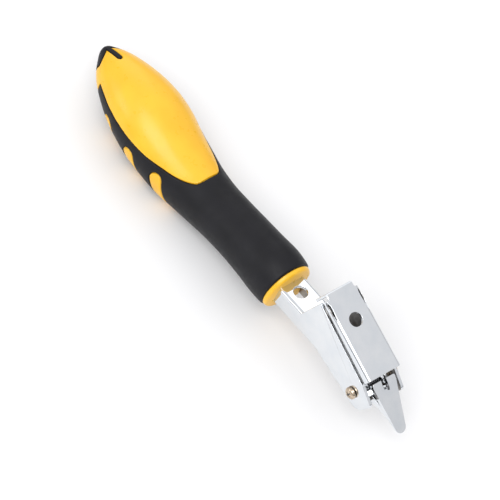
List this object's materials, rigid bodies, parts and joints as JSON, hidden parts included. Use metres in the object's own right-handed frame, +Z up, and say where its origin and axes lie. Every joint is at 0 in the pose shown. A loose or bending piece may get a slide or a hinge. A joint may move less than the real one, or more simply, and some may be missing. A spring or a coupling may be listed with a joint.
{
  "type": "staple remover",
  "caption": "Heavy-duty upholstery staple remover with a two-tone moulded handle and a chromed, spring-closed claw head.",
  "frame": {"origin": "on the ground plane under the middle of the tool's bounding box", "axes": "+X forward along the tool towards the claws, +Z up on the cover's side, +Y to the tool's left"},
  "size_m": [0.1926, 0.0314, 0.049],
  "materials": {
    "chrome": "polished",
    "bare_steel": "satin",
    "bronze": "satin",
    "spring_steel": "satin",
    "yellow_nylon": "gloss",
    "black_rubber": "matte"
  },
  "bodies": {
    "lever": {"handle_core": "yellow_nylon", "grip_overmold": "black_rubber", "shank": "chrome", "rear_claw": "chrome", "rear_claw_rivet": "bare_steel"},
    "head": {"head_body": "chrome", "cover": "chrome", "front_claw": "chrome", "pivot_screw": "bronze", "pivot_sleeve": "bare_steel", "thrust_washer_left": "bronze", "thrust_washer_right": "bronze", "lock_washer": "bare_steel", "pivot_nut": "bare_steel", "torsion_spring": "spring_steel"}
  },
  "joints": [
    {"name": "head_pivot", "type": "hinge", "parent": "lever", "child": "head", "pos_m": [0.0737, 0, 0.02427], "axis": [0, -1, 0], "range_deg": [0, 14], "stiffness_Nm_per_rad": 0.3, "springref_deg": -28.65, "deforming": ["torsion_spring"]}
  ]
}
